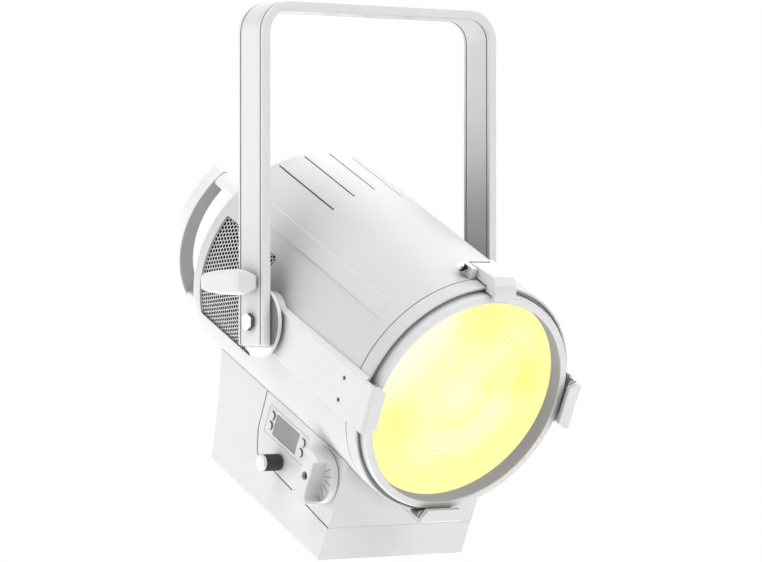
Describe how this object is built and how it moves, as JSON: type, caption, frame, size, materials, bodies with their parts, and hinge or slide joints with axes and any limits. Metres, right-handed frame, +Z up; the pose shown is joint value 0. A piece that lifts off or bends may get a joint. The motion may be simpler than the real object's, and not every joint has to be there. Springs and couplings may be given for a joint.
{
  "type": "fresnel spotlight",
  "caption": "Yoke-hung LED theatre spotlight: drum head with a stepped front lens, gel-frame clips, a control base and rear grab handles.",
  "frame": {"origin": "on the top face of the yoke's crossbar, on the plane of symmetry, 12 mm in front of the line of hang holes", "axes": "+Z up, out of the hang face; -Y is the side the nose points to; the nose dips 25.7 degrees below the horizon at rest; +X is the side without controls"},
  "size_m": [0.2984, 0.4265, 0.5197],
  "materials": {
    "paint": "satin",
    "steel": "satin",
    "chrome": "polished",
    "alloy": "satin",
    "mesh": "satin",
    "lens": "gloss",
    "rim": "satin",
    "rubber": "matte",
    "white_plastic": "satin",
    "dark_plastic": "matte",
    "display": "gloss",
    "board": "matte",
    "power_blue": "satin",
    "power_grey": "satin",
    "emitter": "matte",
    "reflector": "polished"
  },
  "bodies": {
    "yoke": {"yoke_frame": "paint", "clamp_stud": "steel"},
    "head": {"tube_shell": "paint", "side_rail_left": "paint", "side_rail_right": "paint", "bottom_clip": "paint", "latch_bracket": "paint", "front_bezel": "paint", "rear_cap": "paint", "rear_handle_left": "paint", "rear_handle_right": "paint", "control_housing": "paint", "base_chassis": "paint", "control_plate": "paint", "tilt_bolt_left": "steel", "tilt_bolt_right": "steel", "rail_screw_left_upper": "steel", "rail_screw_left_lower": "steel", "rail_screw_right_upper": "steel", "rail_screw_right_lower": "steel", "safety_eye": "steel", "guide_rod_left": "steel", "guide_rod_right": "steel", "latch_pin": "chrome", "lens_retaining_ring": "alloy", "connector_plate": "alloy", "power_supply": "alloy", "shaft_bracket": "alloy", "guide_frame": "alloy", "side_mesh_left": "mesh", "side_mesh_right": "mesh", "fresnel_lens": "lens", "lens_rim": "rim", "lens_gasket": "rubber", "friction_disc_left": "dark_plastic", "friction_disc_right": "dark_plastic", "fan_frame": "dark_plastic", "data_in": "dark_plastic", "data_out": "dark_plastic", "display_window": "display", "control_board": "board", "power_inlet": "power_blue", "power_outlet": "power_grey"},
    "lock_lever": {"lock_lever": "paint"},
    "top_latch": {"top_latch": "paint"},
    "carriage": {"led_carriage": "alloy", "heat_sink": "alloy", "led_board": "emitter", "mixing_cup": "reflector", "focus_rack": "alloy"},
    "focus_dial": {"focus_knob": "white_plastic", "focus_knob_screw": "steel", "focus_shaft": "steel"},
    "encoder": {"encoder_knob": "dark_plastic", "encoder_cap": "white_plastic"},
    "fan": {"fan_rotor": "dark_plastic"},
    "button_1": {"menu_button_1": "white_plastic"},
    "button_2": {"menu_button_2": "white_plastic"},
    "button_3": {"menu_button_3": "white_plastic"},
    "button_4": {"menu_button_4": "white_plastic"}
  },
  "joints": [
    {"name": "tilt", "type": "hinge", "parent": "yoke", "child": "head", "pos_m": [0, 0.012, -0.2979], "axis": [1, 0, 0], "range_deg": [-115.7, 64.2]},
    {"name": "tilt_lock", "type": "hinge", "parent": "yoke", "child": "lock_lever", "pos_m": [-0.142, 0.012, -0.2609], "axis": [-1, 0, 0], "range_deg": [-75, 75]},
    {"name": "latch_hinge", "type": "hinge", "parent": "head", "child": "top_latch", "pos_m": [0, -0.16257, -0.24657], "axis": [-1, 0, 0], "range_deg": [0, 110]},
    {"name": "carriage_slide", "type": "slide", "parent": "head", "child": "carriage", "axis": [0, 0.9009, 0.434], "range_m": [-0.02, 0.02]},
    {"name": "focus_dial_turn", "type": "hinge", "parent": "head", "child": "focus_dial", "pos_m": [-0.09, -0.029, -0.43975], "axis": [-1, 0, 0], "range_deg": [-127.4, 127.4]},
    {"name": "encoder_turn", "type": "hinge", "parent": "head", "child": "encoder", "pos_m": [-0.09, 0.04269, -0.43074], "axis": [-1, 0, 0], "continuous": true},
    {"name": "fan_spin", "type": "hinge", "parent": "head", "child": "fan", "pos_m": [0, 0.1111, -0.25016], "axis": [0, 0.9009, 0.434], "continuous": true},
    {"name": "button_1_press", "type": "slide", "parent": "head", "child": "button_1", "axis": [1, 0, 0], "range_m": [0, 0.001], "stiffness_N_per_m": 600, "springref_m": -0.0005},
    {"name": "button_2_press", "type": "slide", "parent": "head", "child": "button_2", "axis": [1, 0, 0], "range_m": [0, 0.001], "stiffness_N_per_m": 600, "springref_m": -0.0005},
    {"name": "button_3_press", "type": "slide", "parent": "head", "child": "button_3", "axis": [1, 0, 0], "range_m": [0, 0.001], "stiffness_N_per_m": 600, "springref_m": -0.0005},
    {"name": "button_4_press", "type": "slide", "parent": "head", "child": "button_4", "axis": [1, 0, 0], "range_m": [0, 0.001], "stiffness_N_per_m": 600, "springref_m": -0.0005}
  ],
  "couplings": [
    {"joint": "focus_dial_turn", "follows": "carriage_slide", "rad_per_m": 111.11}
  ]
}
